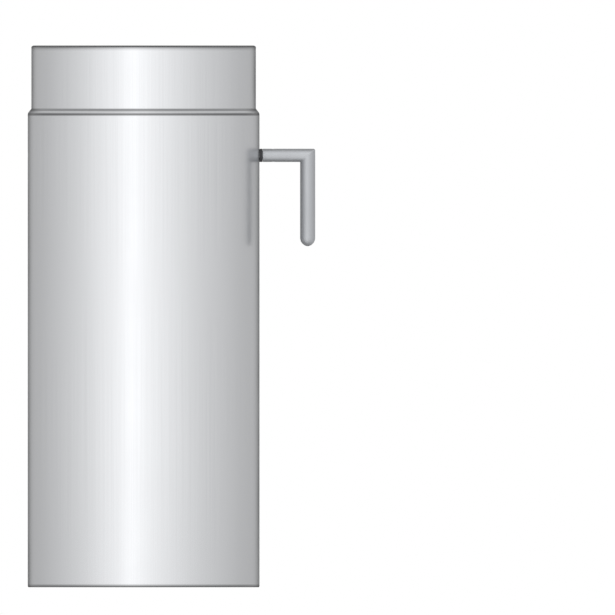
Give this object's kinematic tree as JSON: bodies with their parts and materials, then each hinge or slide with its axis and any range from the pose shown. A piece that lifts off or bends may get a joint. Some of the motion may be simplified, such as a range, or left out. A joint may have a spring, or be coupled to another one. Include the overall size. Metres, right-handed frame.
{
  "type": "stove pipe with damper",
  "caption": "Straight stainless stove pipe with a necked spigot on top, a sized socket below and a round damper plate on a cross shaft, turned by a bent lever outside.",
  "frame": {"origin": "on the pipe's axis, in the plane of its lower rim", "axes": "+Z along the pipe from the lower rim to the spigot, +X along the damper's shaft towards the lever, -Y towards the viewer of the picture; the damper is stored open, its plate upright and its lever hanging down"},
  "size_m": [0.191, 0.1543, 0.36],
  "materials": {
    "pipe_steel": "satin stainless sheet with a fine grain along the pipe",
    "bush_steel": "turned stainless",
    "seal_black": "pressed black graphite fibre, matt",
    "washer_steel": "stamped stainless",
    "shaft_steel": "cold-drawn stainless bar, journals turned",
    "spring_steel": "drawn stainless spring wire",
    "plate_steel": "mill-finish stainless sheet",
    "saddle_steel": "pressed stainless sheet",
    "fastener_steel": "bright stainless fasteners",
    "lever_steel": "satin cast stainless"
  },
  "bodies": {
    "pipe": {"pipe_shell": "pipe_steel", "lever_side_bush": "bush_steel", "far_side_bush": "bush_steel", "seal_ring": "seal_black", "thrust_washer": "washer_steel"},
    "damper": {"damper_shaft": "shaft_steel", "spring_seat_washer": "washer_steel", "friction_spring": "spring_steel", "friction_washer": "washer_steel", "damper_plate": "plate_steel", "far_saddle": "saddle_steel", "lever_saddle": "saddle_steel", "lever_handle": "lever_steel", "lever_pin": "spring_steel", "far_lower_bolt": "fastener_steel", "far_lower_lock_washer": "fastener_steel", "far_lower_nut": "fastener_steel", "far_upper_bolt": "fastener_steel", "far_upper_lock_washer": "fastener_steel", "far_upper_nut": "fastener_steel", "lever_lower_bolt": "fastener_steel", "lever_lower_lock_washer": "fastener_steel", "lever_lower_nut": "fastener_steel", "lever_upper_bolt": "fastener_steel", "lever_upper_lock_washer": "fastener_steel", "lever_upper_nut": "fastener_steel"}
  },
  "joints": [
    {"name": "damper_turn", "type": "hinge", "parent": "pipe", "child": "damper", "pos_m": [0, 0, 0.287], "axis": [-1, 0, 0], "continuous": true}
  ]
}
